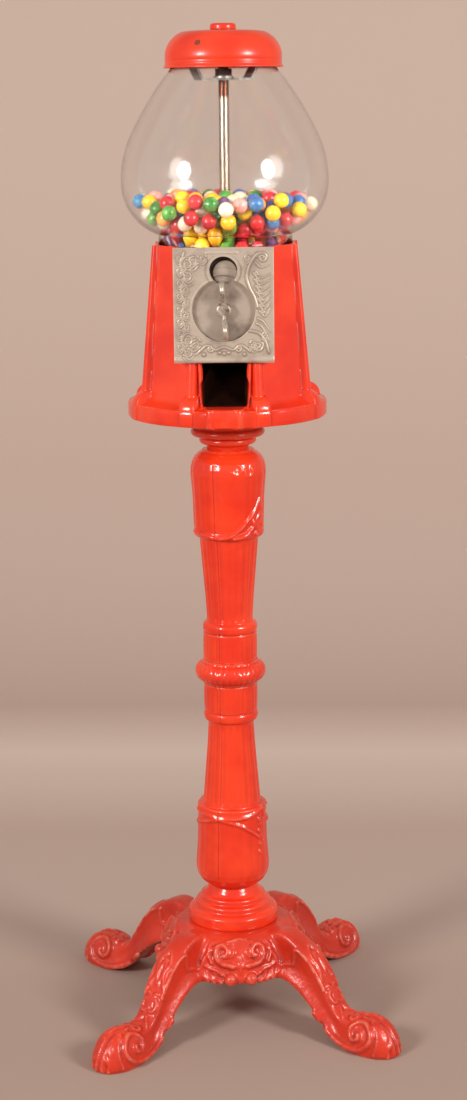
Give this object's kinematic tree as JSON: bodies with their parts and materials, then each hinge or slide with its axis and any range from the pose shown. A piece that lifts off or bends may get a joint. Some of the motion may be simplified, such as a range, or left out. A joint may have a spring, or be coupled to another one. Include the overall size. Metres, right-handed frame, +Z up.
{
  "type": "pedestal gumball machine",
  "caption": "Pedestal gumball machine: cast column on scroll feet, octagonal body with coin wheel and turning handle, glass globe with gumballs under a lift-off lid.",
  "frame": {"origin": "on the floor, under the machine's vertical axis", "axes": "+Z up along the column, -Y towards the front with the coin plate, +X to the right seen from the front"},
  "size_m": [0.3192, 0.3192, 0.9402],
  "materials": {
    "red_enamel": "glossy orange-red enamel on castings and sheet",
    "zinc_casting": "dull zinc casting",
    "steel": "plain steel",
    "dark_steel": "blackened steel",
    "brass_bush": "turned",
    "hopper_aluminium": "as cast",
    "wheel_plastic": "moulded",
    "clear_glass": "clear, blown",
    "gasket_rubber": "soft",
    "gum_red": "sugar shell",
    "gum_orange": "sugar shell",
    "gum_yellow": "sugar shell",
    "gum_green": "sugar shell",
    "gum_blue": "sugar shell",
    "gum_white": "sugar shell",
    "gum_pink": "sugar shell",
    "gum_purple": "sugar shell"
  },
  "bodies": {
    "machine": {"axle_bush": "brass_bush", "ball_guard": "steel", "base_plate": "steel", "base_plate_screws": "steel", "body": "red_enamel", "centre_rod": "steel", "clamp_bar": "steel", "clamp_nut": "dark_steel", "clamp_washer": "steel", "coin_back_plate": "zinc_casting", "column_collar": "red_enamel", "column_lower": "red_enamel", "column_upper": "red_enamel", "face_plate": "zinc_casting", "face_plate_screws": "steel", "globe": "clear_glass", "globe_gasket": "gasket_rubber", "guard_nut": "steel", "gum_chute": "steel", "gumballs_blue": "gum_blue", "gumballs_green": "gum_green", "gumballs_orange": "gum_orange", "gumballs_pink": "gum_pink", "gumballs_purple": "gum_purple", "gumballs_red": "gum_red", "gumballs_white": "gum_white", "gumballs_yellow": "gum_yellow", "hopper": "hopper_aluminium", "hopper_screws": "steel", "leg_base": "red_enamel", "lid_nut": "steel", "pawl_pin": "steel", "pawl_spring": "steel", "plinth": "red_enamel", "rod_anchor_nut": "steel", "stand_cap": "red_enamel", "tie_nut_lower": "steel", "tie_nut_upper": "steel", "tie_rod": "steel", "tie_washer_lower": "steel", "tie_washer_upper": "steel"},
    "handle": {"turn_handle": "zinc_casting", "coin_wheel": "zinc_casting", "handle_axle": "steel", "drive_pinion": "zinc_casting", "axle_nut": "steel"},
    "dispenser": {"gum_wheel": "wheel_plastic", "wheel_gumballs": "gum_yellow"},
    "pawl": {"coin_pawl": "zinc_casting"},
    "lid": {"lid": "red_enamel"},
    "knob": {"lid_knob": "red_enamel"}
  },
  "joints": [
    {"name": "handle_turn", "type": "hinge", "parent": "machine", "child": "handle", "pos_m": [0, -0.075, 0.6915], "axis": [0, 1, 0], "continuous": true},
    {"name": "dispenser_turn", "type": "hinge", "parent": "machine", "child": "dispenser", "pos_m": [0, 0, 0.7165], "axis": [0, 0, 1], "continuous": true},
    {"name": "pawl_swing", "type": "hinge", "parent": "machine", "child": "pawl", "pos_m": [0.03, -0.073, 0.734], "axis": [0, 1, 0], "range_deg": [0, 8], "stiffness_Nm_per_rad": 0.02, "springref_deg": -11.46, "deforming": ["pawl_spring"]},
    {"name": "lid_lift", "type": "slide", "parent": "machine", "child": "lid", "axis": [0, 0, 1], "range_m": [0, 0.1]},
    {"name": "knob_turn", "type": "hinge", "parent": "lid", "child": "knob", "pos_m": [0, 0, 0.937], "axis": [0, 0, 1], "continuous": true}
  ],
  "couplings": [
    {"joint": "dispenser_turn", "follows": "handle_turn", "ratio": 0.33333}
  ]
}
